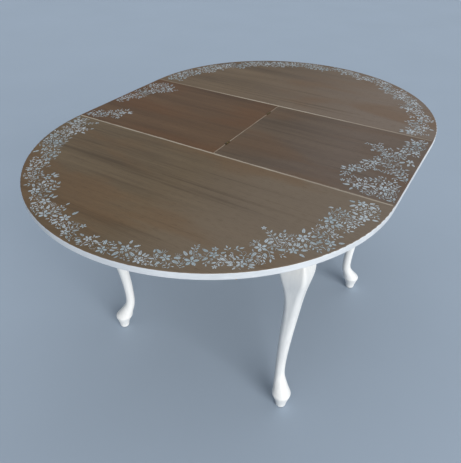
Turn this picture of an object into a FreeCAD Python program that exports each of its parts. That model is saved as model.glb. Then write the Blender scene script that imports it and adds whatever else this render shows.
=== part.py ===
import FreeCAD, Part
import math
import os
import re
import Sketcher

# Extending dining table on cabriole legs, drawn out with its two-piece leaf in place.
# Millimetres. Origin on the floor under the middle of the table. X runs along the seams of the
# top, Y along the way the table draws out (near end at -Y), Z up.

SIZES = {
    # top
    "table_height": 750,
    "top_thickness": 18,
    "end_radius": 500,
    "leaf_width": 400,
    "seam_gap": 1,
    "fold_gap": 1,
    "lipping_width": 6,
    "lipping_round": 2.5,
    "seam_chamfer": 1.2,
    # base frame
    "top_overhang": 155,
    "post_size": 60,
    "post_corner": 3,
    "apron_height": 100,
    "apron_thickness": 22,
    "apron_setback": 6,
    "frame_clearance": 0.4,
    "tenon_length": 25,
    "tenon_thickness": 12,
    "tenon_height": 40,
    "tenon_shoulder": 15,
    "joint_clearance": 0.1,
    "housing_depth": 6,
    # corner blocks and leg bolts
    "block_side": 117,
    "block_height": 42,
    "block_clearance": 4,
    "bolt_radius": 4,
    "bolt_depth": 36,
    "bolt_end": 3,
    "washer_radius": 10,
    "washer_thickness": 1.6,
    "nut_radius": 7.5,
    "nut_height": 6.5,
    # guide rails, runners and stops
    "guide_width": 22,
    "guide_height": 42,
    "tongue_height": 10,
    "tongue_reach": 8,
    "tongue_depth": 4,
    "tongue_drop": 16,
    "slide_clearance": 0.5,
    "runner_width": 24,
    "runner_height": 38,
    "runner_under_end": 360,
    "runner_past_middle": 90,
    "outward_travel": 60,
    "stop_clearance": 0.3,
    "stop_length": 24,
    "stop_height": 12,
    # storage well
    "bearer_width": 60,
    "bearer_thickness": 18,
    "bearer_rise": 4,
    "bearer_gap": 20,
    # leaf battens
    "batten_width": 20,
    "batten_height": 12,
    "batten_length": 300,
    "batten_clearance": 2.5,
    # leaf hinges
    "hinge_pitch": 256,
    "hinge_length": 21,
    "hinge_rise": 0.35,
    "knuckle_radius": 2.5,
    "knuckle_clearance": 0.3,
    "pin_radius": 1.2,
    "running_clearance": 0.05,
    "plate_thickness": 1.2,
    "plate_depth": 15,
    # turn-buttons
    "button_inset": 80,
    "button_setback": 22,
    "button_reach": 40,
    "button_width": 18,
    "button_thickness": 8,
    "button_gap": 0.3,
    # screws
    "screw_radius": 2.2,
    "screw_head_radius": 4.2,
    "screw_head_height": 3,
    "screw_bite": 12,
    "runner_screw_depth": 12,
    "runner_screw_start": 90,
    "runner_screw_pitch": 120,
    "batten_screw_pitch": 220,
    "block_screw_place": 30,
    "block_screw_depth": 8,
    "hinge_screw_radius": 1,
    "hinge_screw_head_radius": 1.9,
    "hinge_screw_head_height": 0.6,
    "hinge_screw_bite": 9,
    "hinge_screw_pitch": 11,
    "hinge_screw_drop": 9,
    # felt pads and legs; each leg section has a shift, outward from the middle of the post along X
    # and Y alike, and a half width
    "pad_height": 3,
    "pad_radius": 12,
    "base_shift": 10,
    "base_half": 15,
    "sole_shift": 10,
    "sole_half": 17,
    "pad_low_shift": 9.7,
    "pad_low_half": 20,
    "pad_side_shift": 9.1,
    "pad_side_half": 23.7,
    "toe_under_shift": 8.2,
    "toe_under_half": 27.5,
    "toe_shift": 7,
    "toe_half": 29.3,
    "toe_top_shift": 4.6,
    "toe_top_half": 27.3,
    "toe_back_shift": 0.3,
    "toe_back_half": 23.9,
    "instep_shift": -5,
    "instep_half": 20.6,
    "heel_shift": -12,
    "heel_half": 16.2,
    "ankle_shift": -14,
    "ankle_half": 15,
    "calf_shift": -12,
    "calf_half": 15.7,
    "shin_shift": -6.5,
    "shin_half": 17.2,
    "shin_middle_shift": 1.5,
    "shin_middle_half": 19,
    "shin_top_shift": 10,
    "shin_top_half": 21,
    "under_knee_shift": 14,
    "under_knee_half": 24.5,
    "knee_low_shift": 15,
    "knee_low_half": 30.5,
    "knee_shift": 13.5,
    "knee_half": 37,
    "knee_top_shift": 7,
    "knee_top_half": 34.5,
}

# Leg sections from the knee down: name, share of the curved height, corner radius as a share of
# the half width (1 would be a full circle, 0 a sharp square).
LEG_SECTIONS = [
    ("knee_top", 0.958, 0.18),
    ("knee", 0.902, 0.28),
    ("knee_low", 0.838, 0.4),
    ("under_knee", 0.775, 0.55),
    ("shin_top", 0.679, 0.75),
    ("shin_middle", 0.552, 0.85),
    ("shin", 0.425, 0.9),
    ("calf", 0.3135, 0.95),
    ("ankle", 0.215, 0.97),
    ("heel", 0.167, 0.97),
    ("instep", 0.1305, 0.97),
    ("toe_back", 0.11, 0.97),
    ("toe_top", 0.093, 0.97),
    ("toe", 0.081, 0.97),
    ("toe_under", 0.07, 0.97),
    ("pad_side", 0.054, 0.97),
    ("pad_low", 0.036, 0.97),
    ("sole", 0.0175, 0.97),
    ("base", 0.0, 0.97),
]

X = FreeCAD.Vector(1, 0, 0)
Y = FreeCAD.Vector(0, 1, 0)
Z = FreeCAD.Vector(0, 0, 1)
ORIGIN = FreeCAD.Vector(0, 0, 0)
AXES = {"x": X, "y": Y, "z": Z, "diagonal": FreeCAD.Vector(1, 1, 0)}

# Levels and distances that several pieces share, as formulas of the sizes.
UNDERSIDE = "(table_height - top_thickness)"
END_EDGE = "(leaf_width / 2 + seam_gap)"
LEAF_EDGE = "(leaf_width / 2)"
LIPPING_INNER = "(end_radius - lipping_width)"
FRAME_TOP = f"({UNDERSIDE} - frame_clearance)"
POST_INNER = "(end_radius - top_overhang - post_size)"
POST_MIDDLE = f"({POST_INNER} + post_size / 2)"
APRON_OUTER = f"({POST_INNER} + post_size - apron_setback)"
APRON_INNER = f"({APRON_OUTER} - apron_thickness)"
APRON_MIDDLE = f"({APRON_OUTER} - apron_thickness / 2)"
APRON_BOTTOM = f"({FRAME_TOP} - apron_height)"
TENON_BOTTOM = f"({APRON_BOTTOM} + tenon_shoulder)"
TENON_TOP = f"({TENON_BOTTOM} + tenon_height)"
TENON_END = f"({POST_INNER} + tenon_length)"
TENON_FACES = (f"({APRON_MIDDLE} - tenon_thickness / 2)", f"({APRON_MIDDLE} + tenon_thickness / 2)")
HOUSING_END = f"({APRON_INNER} + housing_depth)"

NEAR_RUNNER_OUTER = f"({POST_INNER} - slide_clearance)"
NEAR_RUNNER_INNER = f"({NEAR_RUNNER_OUTER} - runner_width)"
GUIDE_OUTER = f"({NEAR_RUNNER_INNER} - slide_clearance)"
GUIDE_INNER = f"({GUIDE_OUTER} - guide_width)"
FAR_RUNNER_OUTER = f"({GUIDE_INNER} - slide_clearance)"
FAR_RUNNER_INNER = f"({FAR_RUNNER_OUTER} - runner_width)"
GUIDE_BOTTOM = f"({UNDERSIDE} - guide_height)"
RUNNER_BOTTOM = f"({UNDERSIDE} - runner_height)"
TONGUE_TOP = f"({UNDERSIDE} - tongue_drop)"
TONGUE_BOTTOM = f"({TONGUE_TOP} - tongue_height)"
STOP_FACE = f"({APRON_INNER} - outward_travel - stop_clearance)"
STOP_BOTTOM = f"({RUNNER_BOTTOM} - stop_height)"
RUNNER_SCREWS = 3

BLOCK_TOP = f"({STOP_BOTTOM} - block_clearance)"
BLOCK_BOTTOM = f"({BLOCK_TOP} - block_height)"
BLOCK_MIDDLE = f"({BLOCK_TOP} - block_height / 2)"
BLOCK_INNER = f"({APRON_INNER} - block_side)"
BLOCK_FACE = f"({APRON_INNER} - block_side / 2)"  # X and Y where the bolt comes out of the block
BEARER_OUTER = f"({BLOCK_INNER} - bearer_gap)"
BEARER_BOTTOM = f"({APRON_BOTTOM} + bearer_rise)"
BATTEN_OUTER = f"({FAR_RUNNER_INNER} - batten_clearance)"

HINGE_AXIS = "(table_height + hinge_rise)"
HINGE_PLACES = ("(hinge_pitch / 2)", "(-hinge_pitch / 2)")
PLATE_FACE = "(fold_gap / 2)"
PLATE_BACK = f"({PLATE_FACE} + plate_thickness)"
PLATE_BOTTOM = "(table_height - plate_depth)"
PLATE_TOP = f"({HINGE_AXIS} - knuckle_radius - knuckle_clearance)"
KNUCKLE_LENGTH = "(hinge_length / 3 - knuckle_clearance)"

BUTTON_PLACE = "(end_radius - button_inset)"
BUTTON_PIVOT = f"({END_EDGE} + button_setback)"
BUTTON_TOP = f"({UNDERSIDE} - button_gap)"
BUTTON_BOTTOM = f"({BUTTON_TOP} - button_thickness)"

doc = FreeCAD.newDocument("extending_table")
sheet = doc.addObject("Spreadsheet::Sheet", "Sizes")
for row, (alias, value) in enumerate(SIZES.items(), 1):
    sheet.set(f"A{row}", alias)
    sheet.set(f"B{row}", str(value))
    sheet.setAlias(f"B{row}", alias)
doc.recompute()

nodes = {}


def formula(text):
    """Point each size name in a formula at its cell."""
    return re.sub(r"[a-z_]+", lambda word: f"Sizes.{word[0]}" if word[0] in SIZES else word[0], text)


def bind(item, formulas):
    for path, text in formulas.items():
        item.setExpression(path, formula(text))


def place(item, x, y, z):
    bind(item, {"Placement.Base.x": x, "Placement.Base.y": y, "Placement.Base.z": z})
    return item


def block(name, x_span, y_span, z_span):
    """A box between a low and a high formula along each axis."""
    item = doc.addObject("Part::Box", name)
    for side, (low, high) in zip(("Length", "Width", "Height"), (x_span, y_span, z_span)):
        bind(item, {side: f"({high}) - ({low})"})
    return place(item, x_span[0], y_span[0], z_span[0])


def rod(name, axis, radius, length, start):
    """A round bar that runs along an axis from a start point."""
    item = doc.addObject("Part::Cylinder", name)
    item.Placement = FreeCAD.Placement(ORIGIN, FreeCAD.Rotation(Z, AXES[axis]))
    bind(item, {"Radius": radius, "Height": length})
    return place(item, *start)


def arris(name, axis, span, edge):
    """A square bar turned 45 degrees, which takes the corner off a straight top edge."""
    side = "seam_chamfer * sqrt(2)"
    low = "table_height - seam_chamfer"
    length = f"({span[1]}) - ({span[0]})"
    item = doc.addObject("Part::Box", name)
    if axis == "x":
        item.Placement = FreeCAD.Placement(ORIGIN, FreeCAD.Rotation(X, 45))
        bind(item, {"Length": length, "Width": side, "Height": side})
        return place(item, span[0], edge, low)
    item.Placement = FreeCAD.Placement(ORIGIN, FreeCAD.Rotation(Y, -45))
    bind(item, {"Length": side, "Width": length, "Height": side})
    return place(item, edge, span[0], low)


def fuse(name, items):
    item = doc.addObject("Part::MultiFuse", name)
    item.Shapes = items
    return item


def cut(name, base, tools):
    item = doc.addObject("Part::Cut", name)
    item.Base = base
    item.Tool = tools[0] if len(tools) == 1 else fuse(f"{name}_cutters", tools)
    return item


def group(name, items):
    """Several separate solids in one node."""
    item = doc.addObject("Part::Compound", name)
    item.Links = items
    return item


def mirrored(item, *normals):
    """A copy on the other side of the upright plane through the origin, for each normal in turn."""
    for normal in normals:
        copy = doc.addObject("Part::Mirroring", f"{item.Name}_copy")
        copy.Source = item
        copy.Base = ORIGIN
        copy.Normal = normal
        item = copy
    return item


def both_sides(items):
    """Right-hand pieces followed by their left-hand copies."""
    return items + [mirrored(item, X) for item in items]


def corners(far_right):
    """A far right piece and its three copies, by corner."""
    return {
        "far_right": far_right,
        "far_left": mirrored(far_right, X),
        "near_right": mirrored(far_right, Y),
        "near_left": mirrored(far_right, X, Y),
    }


def keep(node, item):
    """Hand over a finished sub-part under its own name."""
    item.Label = node
    nodes[node] = item


def origin_feature(body, role):
    return next(feature for feature in body.Origin.OriginFeatures if feature.Role == role)


def new_sketch(body, name, role):
    sketch = body.newObject("Sketcher::SketchObject", name)
    sketch.AttachmentSupport = [(origin_feature(body, role), "")]
    sketch.MapMode = "FlatFace"
    return sketch


def join(sketch, kind, *arguments):
    sketch.addConstraint(Sketcher.Constraint(kind, *arguments))


def measure(sketch, text, kind, *arguments):
    """Add a sized constraint and bind it to a formula."""
    index = sketch.addConstraint(Sketcher.Constraint(kind, *arguments))
    sketch.setExpression(f"Constraints[{index}]", formula(text))


def arc(middle, radius, first_degrees):
    """A quarter circle."""
    circle = Part.Circle(FreeCAD.Vector(*middle, 0), Z, radius)
    return Part.ArcOfCircle(circle, math.radians(first_degrees), math.radians(first_degrees + 90))


def line(start, end):
    return Part.LineSegment(FreeCAD.Vector(*start, 0), FreeCAD.Vector(*end, 0))


def rounded_square(body, name, middle, level, half, corner):
    """A level sketch of a square with rounded corners, its middle at the same X and Y."""
    sketch = new_sketch(body, name, "XY_Plane")
    for axis, text in (("x", middle), ("y", middle), ("z", level)):
        bind(sketch, {f"AttachmentOffset.Base.{axis}": text})
    outer, straight = 10, 5  # a first guess, which the constraints replace
    radius = outer - straight
    middles = ((straight, straight), (-straight, straight), (-straight, -straight), (straight, -straight))
    ends = (
        ((straight, outer), (-straight, outer)),
        ((-outer, straight), (-outer, -straight)),
        ((-straight, -outer), (straight, -outer)),
        ((outer, -straight), (outer, straight)),
    )
    arcs = [sketch.addGeometry(arc(point, radius, 90 * turn)) for turn, point in enumerate(middles)]
    lines = [sketch.addGeometry(line(*pair)) for pair in ends]
    for turn in range(4):
        join(sketch, "Tangent", arcs[turn], 2, lines[turn], 1)
        join(sketch, "Tangent", lines[turn], 2, arcs[(turn + 1) % 4], 1)
        join(sketch, "Horizontal" if turn % 2 == 0 else "Vertical", lines[turn])
    for other in arcs[1:]:
        join(sketch, "Equal", arcs[0], other)
    join(sketch, "Symmetric", arcs[0], 3, arcs[2], 3, -1, 1)
    measure(sketch, f"2 * ({half})", "DistanceX", lines[1], 1, lines[3], 1, 2 * outer)
    measure(sketch, f"2 * ({half})", "DistanceY", lines[2], 1, lines[0], 1, 2 * outer)
    measure(sketch, corner, "Radius", arcs[0], radius)
    return sketch


def lipping_profile(body, inner):
    """An upright sketch of the edge lipping: square inside, rounded outside at top and bottom."""
    sketch = new_sketch(body, "lipping_profile", "XZ_Plane")
    bind(sketch, {"AttachmentOffset.Base.x": inner})
    right, high, radius = 6, 18, 2  # a first guess, which the constraints replace
    bottom = sketch.addGeometry(line((0, 0), (right - radius, 0)))
    low_round = sketch.addGeometry(arc((right - radius, radius), radius, 270))
    outer = sketch.addGeometry(line((right, radius), (right, high - radius)))
    high_round = sketch.addGeometry(arc((right - radius, high - radius), radius, 0))
    top = sketch.addGeometry(line((right - radius, high), (0, high)))
    back = sketch.addGeometry(line((0, high), (0, 0)))
    chain = (bottom, low_round, outer, high_round, top)
    for first, second in zip(chain, chain[1:]):
        join(sketch, "Tangent", first, 2, second, 1)
    join(sketch, "Coincident", top, 2, back, 1)
    join(sketch, "Coincident", back, 2, bottom, 1)
    join(sketch, "Vertical", outer)
    join(sketch, "Vertical", back)
    join(sketch, "Equal", low_round, high_round)
    join(sketch, "Coincident", bottom, 1, -1, 1)
    join(sketch, "Horizontal", bottom)
    join(sketch, "Horizontal", top)
    measure(sketch, "lipping_width", "DistanceX", -1, 1, outer, 1, right)
    measure(sketch, "top_thickness", "DistanceY", back, 2, back, 1, high)
    measure(sketch, "lipping_round", "Radius", low_round, radius)
    return sketch


def polygon(body, name, points, rough):
    """A level sketch of a polygon whose corners lie at formulas, drawn first at rough places."""
    sketch = new_sketch(body, name, "XY_Plane")
    pairs = zip(rough, rough[1:] + rough[:1])
    lines = [sketch.addGeometry(line(*pair)) for pair in pairs]
    for first, second in zip(lines, lines[1:] + lines[:1]):
        join(sketch, "Coincident", first, 2, second, 1)
    for edge, (x, y), (rough_x, rough_y) in zip(lines, points, rough):
        measure(sketch, x, "DistanceX", -1, 1, edge, 1, rough_x)
        measure(sketch, y, "DistanceY", -1, 1, edge, 1, rough_y)
    return sketch


def shifted(point, axis, distance):
    """A point moved along X, Y or Z."""
    place_in_point = "xyz".index(axis)
    moved = list(point)
    moved[place_in_point] = f"{point[place_in_point]} + ({distance})"
    return tuple(moved)


def screw(name, axis, seat, length, stem="screw"):
    """A screw driven along an axis, with its head's underside at the seat."""
    head_start = shifted(seat, axis, f"-{stem}_head_height")
    head = rod(f"{name}_head", axis, f"{stem}_head_radius", f"{stem}_head_height", head_start)
    shank = rod(f"{name}_shank", axis, f"{stem}_radius", length, seat)
    return fuse(name, [head, shank])


def screw_room(name, axis, seat, length, mouth, stem="screw"):
    """The cutter for a screw: a hole for its shank and a wider one, as long as the mouth, for its head."""
    head_room = rod(f"{name}_mouth", axis, f"{stem}_head_radius + joint_clearance", mouth,
                    shifted(seat, axis, f"-({mouth})"))
    hole = rod(f"{name}_hole", axis, f"{stem}_radius + joint_clearance",
               f"{length} + joint_clearance", seat)
    return fuse(name, [head_room, hole])


def bolt_line(distance):
    """The point on a leg bolt's line that lies a distance in front of its corner block."""
    along = f"{BLOCK_FACE} - ({distance}) / sqrt(2)"
    return along, along, BLOCK_MIDDLE


BLOCK_DEPTH = f"(({POST_INNER} - {BLOCK_FACE}) * sqrt(2))"


def bolt_hole(name, clear):
    """The hole for a leg bolt, from in front of the corner block to the bottom of its hole in the post."""
    length = f"bolt_end + {BLOCK_DEPTH} + bolt_depth + {clear}"
    return rod(name, "diagonal", f"bolt_radius + {clear}", length, bolt_line("bolt_end"))


def block_screw_seats():
    """Seats of the two screws of the far right corner block, one into each apron."""
    thin_end = f"({BLOCK_INNER} + block_screw_place)"
    seat = f"({APRON_INNER} - block_screw_place + block_screw_depth)"
    return (("x", (seat, thin_end, BLOCK_MIDDLE)), ("y", (thin_end, seat, BLOCK_MIDDLE)))


BLOCK_SCREW_LENGTH = "(block_screw_place - block_screw_depth + screw_bite)"


def block_screw_rooms():
    rooms = []
    for axis, seat in block_screw_seats():
        name = f"block_screw_room_{axis}"
        rooms.append(screw_room(name, axis, seat, BLOCK_SCREW_LENGTH, "block_side / 2"))
    return rooms


def make_legs():
    body = doc.addObject("PartDesign::Body", "leg_blank")
    square = (POST_MIDDLE, APRON_BOTTOM, "post_size / 2", "post_corner")
    post = body.newObject("PartDesign::Pad", "post")
    post.Profile = rounded_square(body, "post_section", *square)
    bind(post, {"Length": "apron_height"})
    sections = []
    for name, share, roundness in LEG_SECTIONS:
        level = f"pad_height + {share} * ({APRON_BOTTOM} - pad_height)"
        middle = f"{POST_MIDDLE} + {name}_shift"
        corner = f"{roundness} * {name}_half"
        sections.append(rounded_square(body, f"{name}_section", middle, level, f"{name}_half", corner))
    knee_join = rounded_square(body, "knee_join", *square)
    doc.recompute()
    curve = body.newObject("PartDesign::AdditiveLoft", "cabriole_curve")
    curve.Profile = knee_join
    curve.Sections = sections
    body.Tip = curve

    across = (f"{TENON_FACES[0]} - joint_clearance", f"{TENON_FACES[1]} + joint_clearance")
    inward = (POST_INNER, f"{TENON_END} + joint_clearance")
    upward = (f"{TENON_BOTTOM} - joint_clearance", f"{TENON_TOP} + joint_clearance")
    mortises = [block("end_mortise", inward, across, upward), block("side_mortise", across, inward, upward)]
    leg = cut("leg", body, mortises + [bolt_hole("leg_bolt_hole", "joint_clearance")])
    for corner, item in corners(leg).items():
        keep(f"leg_{corner}", item)

    foot = f"{POST_MIDDLE} + base_shift"
    pad = rod("foot_pad", "z", "pad_radius", "pad_height", (foot, foot, "0"))
    keep("foot_pads", group("foot_pad_set", list(corners(pad).values())))


def make_corner_blocks():
    body = doc.addObject("PartDesign::Body", "corner_blank")
    points = [
        (APRON_INNER, BLOCK_INNER),
        (APRON_INNER, POST_INNER),
        (POST_INNER, POST_INNER),
        (POST_INNER, APRON_INNER),
        (BLOCK_INNER, APRON_INNER),
    ]
    rough = [(300, 100), (300, 200), (200, 200), (200, 300), (100, 300)]
    outline = polygon(body, "corner_outline", points, rough)
    bind(outline, {"AttachmentOffset.Base.z": BLOCK_BOTTOM})
    pad = body.newObject("PartDesign::Pad", "corner_thickness")
    pad.Profile = outline
    bind(pad, {"Length": "block_height"})
    tools = [bolt_hole("block_bolt_hole", "2 * joint_clearance")] + block_screw_rooms()
    for corner, item in corners(cut("corner_block", body, tools)).items():
        keep(f"corner_block_{corner}", item)

    screws = []
    for axis, seat in block_screw_seats():
        item = screw(f"block_screw_{axis}", axis, seat, BLOCK_SCREW_LENGTH)
        screws += corners(item).values()
    keep("corner_block_screws", group("corner_block_screw_set", screws))


def make_leg_bolts():
    outside = "(washer_thickness + nut_height + bolt_end)"
    bolt_length = f"{outside} + {BLOCK_DEPTH} + bolt_depth"
    bolt = rod("leg_bolt", "diagonal", "bolt_radius", bolt_length, bolt_line(outside))
    washer_start = bolt_line("washer_thickness")
    washer_disc = rod("washer_disc", "diagonal", "washer_radius", "washer_thickness", washer_start)
    bore = rod("bolt_bore", "diagonal", "bolt_radius + joint_clearance", f"2 * {outside}",
               bolt_line(f"1.5 * {outside}"))
    nut_blank = doc.addObject("Part::Prism", "nut_blank")
    nut_blank.Polygon = 6
    nut_blank.Placement = FreeCAD.Placement(ORIGIN, FreeCAD.Rotation(Z, AXES["diagonal"]))
    bind(nut_blank, {"Circumradius": "nut_radius", "Height": "nut_height"})
    place(nut_blank, *bolt_line("washer_thickness + nut_height"))
    pieces = {
        "leg_bolts": bolt,
        "leg_washers": cut("leg_washer", washer_disc, [bore]),
        "leg_nuts": cut("leg_nut", nut_blank, [bore]),
    }
    for node, item in pieces.items():
        keep(node, group(f"{node}_set", list(corners(item).values())))


def guide_housing():
    """The room for the end of the right guide rail in the far apron."""
    return block(
        "guide_housing",
        (f"{GUIDE_INNER} - joint_clearance", f"{GUIDE_OUTER} + joint_clearance"),
        (BLOCK_INNER, f"{HOUSING_END} + joint_clearance"),
        (f"{GUIDE_BOTTOM} - joint_clearance", "table_height"),
    )


def make_end_apron(stem, notch_span, *normals):
    """The far apron, or the near one as a mirrored copy, with notches that its runners pass through."""
    rail = block(f"{stem}_rail", (f"-{POST_INNER}", POST_INNER), (APRON_INNER, APRON_OUTER),
                 (APRON_BOTTOM, FRAME_TOP))
    tenon = block(f"{stem}_tenon", (f"-{TENON_END}", TENON_END), TENON_FACES, (TENON_BOTTOM, TENON_TOP))
    notch = block(f"{stem}_notch", notch_span, (BLOCK_INNER, "end_radius"),
                  (f"{RUNNER_BOTTOM} - slide_clearance", "table_height"))
    right_hand = [notch, guide_housing(), block_screw_rooms()[1]]
    apron = cut(f"{stem}_cut", fuse(f"{stem}_blank", [rail, tenon]), both_sides(right_hand))
    keep(stem, mirrored(apron, *normals))


def bearer_span():
    return f"{BEARER_OUTER} - bearer_width", BEARER_OUTER


def bearer_levels(clear):
    return f"{BEARER_BOTTOM} - {clear}", f"{BEARER_BOTTOM} + bearer_thickness + {clear}"


def make_side_aprons():
    rail = block("side_rail", (APRON_INNER, APRON_OUTER), (f"-{POST_INNER}", POST_INNER),
                 (APRON_BOTTOM, FRAME_TOP))
    tenon = block("side_tenon", TENON_FACES, (f"-{TENON_END}", TENON_END), (TENON_BOTTOM, TENON_TOP))
    low, high = bearer_span()
    housing = block(
        "bearer_housing",
        (BLOCK_INNER, f"{HOUSING_END} + joint_clearance"),
        (f"{low} - joint_clearance", f"{high} + joint_clearance"),
        bearer_levels("joint_clearance"),
    )
    far_half = [housing, block_screw_rooms()[0]]
    tools = far_half + [mirrored(tool, Y) for tool in far_half]
    apron = cut("side_apron", fuse("side_blank", [rail, tenon]), tools)
    keep("apron_right", apron)
    keep("apron_left", mirrored(apron, X))


def make_guides():
    blank = block("guide_blank", (GUIDE_INNER, GUIDE_OUTER), (f"-{HOUSING_END}", HOUSING_END),
                  (GUIDE_BOTTOM, UNDERSIDE))
    along = (f"-({APRON_INNER} - slide_clearance)", f"{APRON_INNER} - slide_clearance")
    levels = (TONGUE_BOTTOM, TONGUE_TOP)
    outer = (f"{GUIDE_OUTER} - tongue_depth", f"{GUIDE_OUTER} + tongue_reach")
    inner = (f"{GUIDE_INNER} - tongue_reach", f"{GUIDE_INNER} + tongue_depth")
    tongues = [block("outer_tongue", outer, along, levels), block("inner_tongue", inner, along, levels)]
    guide = cut("guide_rail", blank, tongues)
    keep("guide_rail_right", guide)
    keep("guide_rail_left", mirrored(guide, X))
    keep("guide_tongues", group("guide_tongue_set", both_sides(tongues)))


def make_bearers():
    bearer = block("bearer", (f"-{HOUSING_END}", HOUSING_END), bearer_span(), bearer_levels("0"))
    keep("well_bearer_far", bearer)
    keep("well_bearer_near", mirrored(bearer, Y))


def make_end(stem, runner_span, tongue_tip, *normals):
    """The far end of the top with its runners, or the near end as a mirrored copy."""
    runner_middle = f"({runner_span[0]} + runner_width / 2)"
    seat_level = f"{RUNNER_BOTTOM} + runner_screw_depth"
    screw_length = "(runner_height - runner_screw_depth + screw_bite)"
    screws = []
    rooms = []
    for number in range(RUNNER_SCREWS):
        y = f"{END_EDGE} + runner_screw_start + {number} * runner_screw_pitch"
        seat = (runner_middle, y, seat_level)
        screws.append(screw(f"{stem}_runner_screw_{number}", "z", seat, screw_length))
        rooms.append(screw_room(f"{stem}_runner_room_{number}", "z", seat, screw_length, "runner_height"))

    pivot_seat = (BUTTON_PLACE, BUTTON_PIVOT, f"{BUTTON_BOTTOM} - button_gap")
    pivot_length = "(button_thickness + 2 * button_gap + screw_bite)"
    pivot = screw(f"{stem}_button_pivot", "z", pivot_seat, pivot_length)
    pivot_room = screw_room(f"{stem}_pivot_room", "z", pivot_seat, pivot_length, "screw_head_height")

    seam = arris(f"{stem}_seam", "x", ("-end_radius", "end_radius"), END_EDGE)
    half_disc = doc.addObject("Part::Cylinder", f"{stem}_half_disc")
    half_disc.Angle = 180
    bind(half_disc, {"Radius": LIPPING_INNER, "Height": "top_thickness"})
    place(half_disc, "0", END_EDGE, UNDERSIDE)
    board = cut(f"{stem}_cut", half_disc, both_sides(rooms + [pivot_room]) + [seam])
    keep(f"{stem}_board", mirrored(board, *normals))

    body = doc.addObject("PartDesign::Body", f"{stem}_lipping_blank")
    bend = body.newObject("PartDesign::Revolution", f"{stem}_lipping_bend")
    bend.Profile = lipping_profile(body, LIPPING_INNER)
    bend.ReferenceAxis = (origin_feature(body, "Z_Axis"), [""])
    bend.Angle = 180
    place(body, "0", END_EDGE, UNDERSIDE)
    keep(f"{stem}_lipping", mirrored(cut(f"{stem}_lipping_cut", body, [seam]), *normals))

    length_span = ("-runner_past_middle", f"{END_EDGE} + runner_under_end")
    blank = block(f"{stem}_runner_blank", runner_span, length_span, (RUNNER_BOTTOM, UNDERSIDE))
    groove = block(f"{stem}_groove", tongue_tip, length_span,
                   (f"{TONGUE_BOTTOM} - slide_clearance", f"{TONGUE_TOP} + slide_clearance"))
    runner = cut(f"{stem}_runner", blank, [groove] + rooms)
    keep(f"{stem}_runner_right", mirrored(runner, *normals))
    keep(f"{stem}_runner_left", mirrored(runner, X, *normals))

    stop = block(f"{stem}_stop", runner_span, (f"{STOP_FACE} - stop_length", STOP_FACE),
                 (STOP_BOTTOM, RUNNER_BOTTOM))
    for node, items in (("runner_stops", [stop]), ("runner_screws", screws), ("button_screws", [pivot])):
        keep(f"{stem}_{node}", mirrored(group(f"{stem}_{node}_set", both_sides(items)), *normals))


def make_buttons():
    """Turn-buttons under the ends, each pointing across the seam to hold the leaf level."""
    tip = f"{BUTTON_PIVOT} - button_reach"
    half = "button_width / 2"
    levels = (BUTTON_BOTTOM, BUTTON_TOP)
    across = (f"{BUTTON_PLACE} - {half}", f"{BUTTON_PLACE} + {half}")
    bar = block("button_bar", across, (tip, BUTTON_PIVOT), levels)
    ends = []
    for number, y in enumerate((tip, BUTTON_PIVOT)):
        start = (BUTTON_PLACE, y, BUTTON_BOTTOM)
        ends.append(rod(f"button_end_{number}", "z", half, "button_thickness", start))
    bore = rod("button_bore", "z", "screw_radius + running_clearance", "button_thickness",
               (BUTTON_PLACE, BUTTON_PIVOT, BUTTON_BOTTOM))
    button = cut("turn_button", fuse("button_blank", [bar] + ends), [bore])
    for corner, item in corners(button).items():
        keep(f"turn_button_{corner}", item)


def hinge_screw_seats():
    """Seats of the screws in the right-hand hinge plates."""
    seat = f"{PLATE_FACE} + hinge_screw_head_height"
    level = "table_height - hinge_screw_drop"
    seats = []
    for hinge in HINGE_PLACES:
        for side in ("-", "+"):
            seats.append((seat, f"{hinge} {side} hinge_screw_pitch / 2", level))
    return seats


HINGE_SCREW_LENGTH = "(plate_thickness - hinge_screw_head_height + hinge_screw_bite)"


def hinge_screw_rooms():
    rooms = []
    for number, seat in enumerate(hinge_screw_seats()):
        rooms.append(screw_room(f"hinge_screw_room_{number}", "x", seat, HINGE_SCREW_LENGTH,
                                "hinge_screw_head_height", "hinge_screw"))
    return rooms


def knuckle(name, hinge, third):
    """One third of a hinge's knuckle with the neck that joins it to the right-hand plate."""
    middle = f"({hinge} + {third} * hinge_length / 3)"
    span = (f"{middle} - {KNUCKLE_LENGTH} / 2", f"{middle} + {KNUCKLE_LENGTH} / 2")
    barrel = rod(f"{name}_barrel", "y", "knuckle_radius", KNUCKLE_LENGTH, ("0", span[0], HINGE_AXIS))
    neck = block(f"{name}_neck", (PLATE_FACE, PLATE_BACK), span, (PLATE_TOP, HINGE_AXIS))
    return [barrel, neck]


def hinge_plate(name, hinge, thirds, screw_rooms):
    """A right-hand hinge plate whose knuckles stand in some thirds of its length."""
    span = (f"{hinge} - hinge_length / 2", f"{hinge} + hinge_length / 2")
    pieces = [block(f"{name}_flat", (PLATE_FACE, PLATE_BACK), span, (PLATE_BOTTOM, PLATE_TOP))]
    for number, third in enumerate(thirds):
        pieces += knuckle(f"{name}_knuckle_{number}", hinge, third)
    bore = rod(f"{name}_bore", "y", "pin_radius + running_clearance", "hinge_length",
               ("0", span[0], HINGE_AXIS))
    return cut(name, fuse(f"{name}_blank", pieces), [bore] + screw_rooms)


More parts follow.
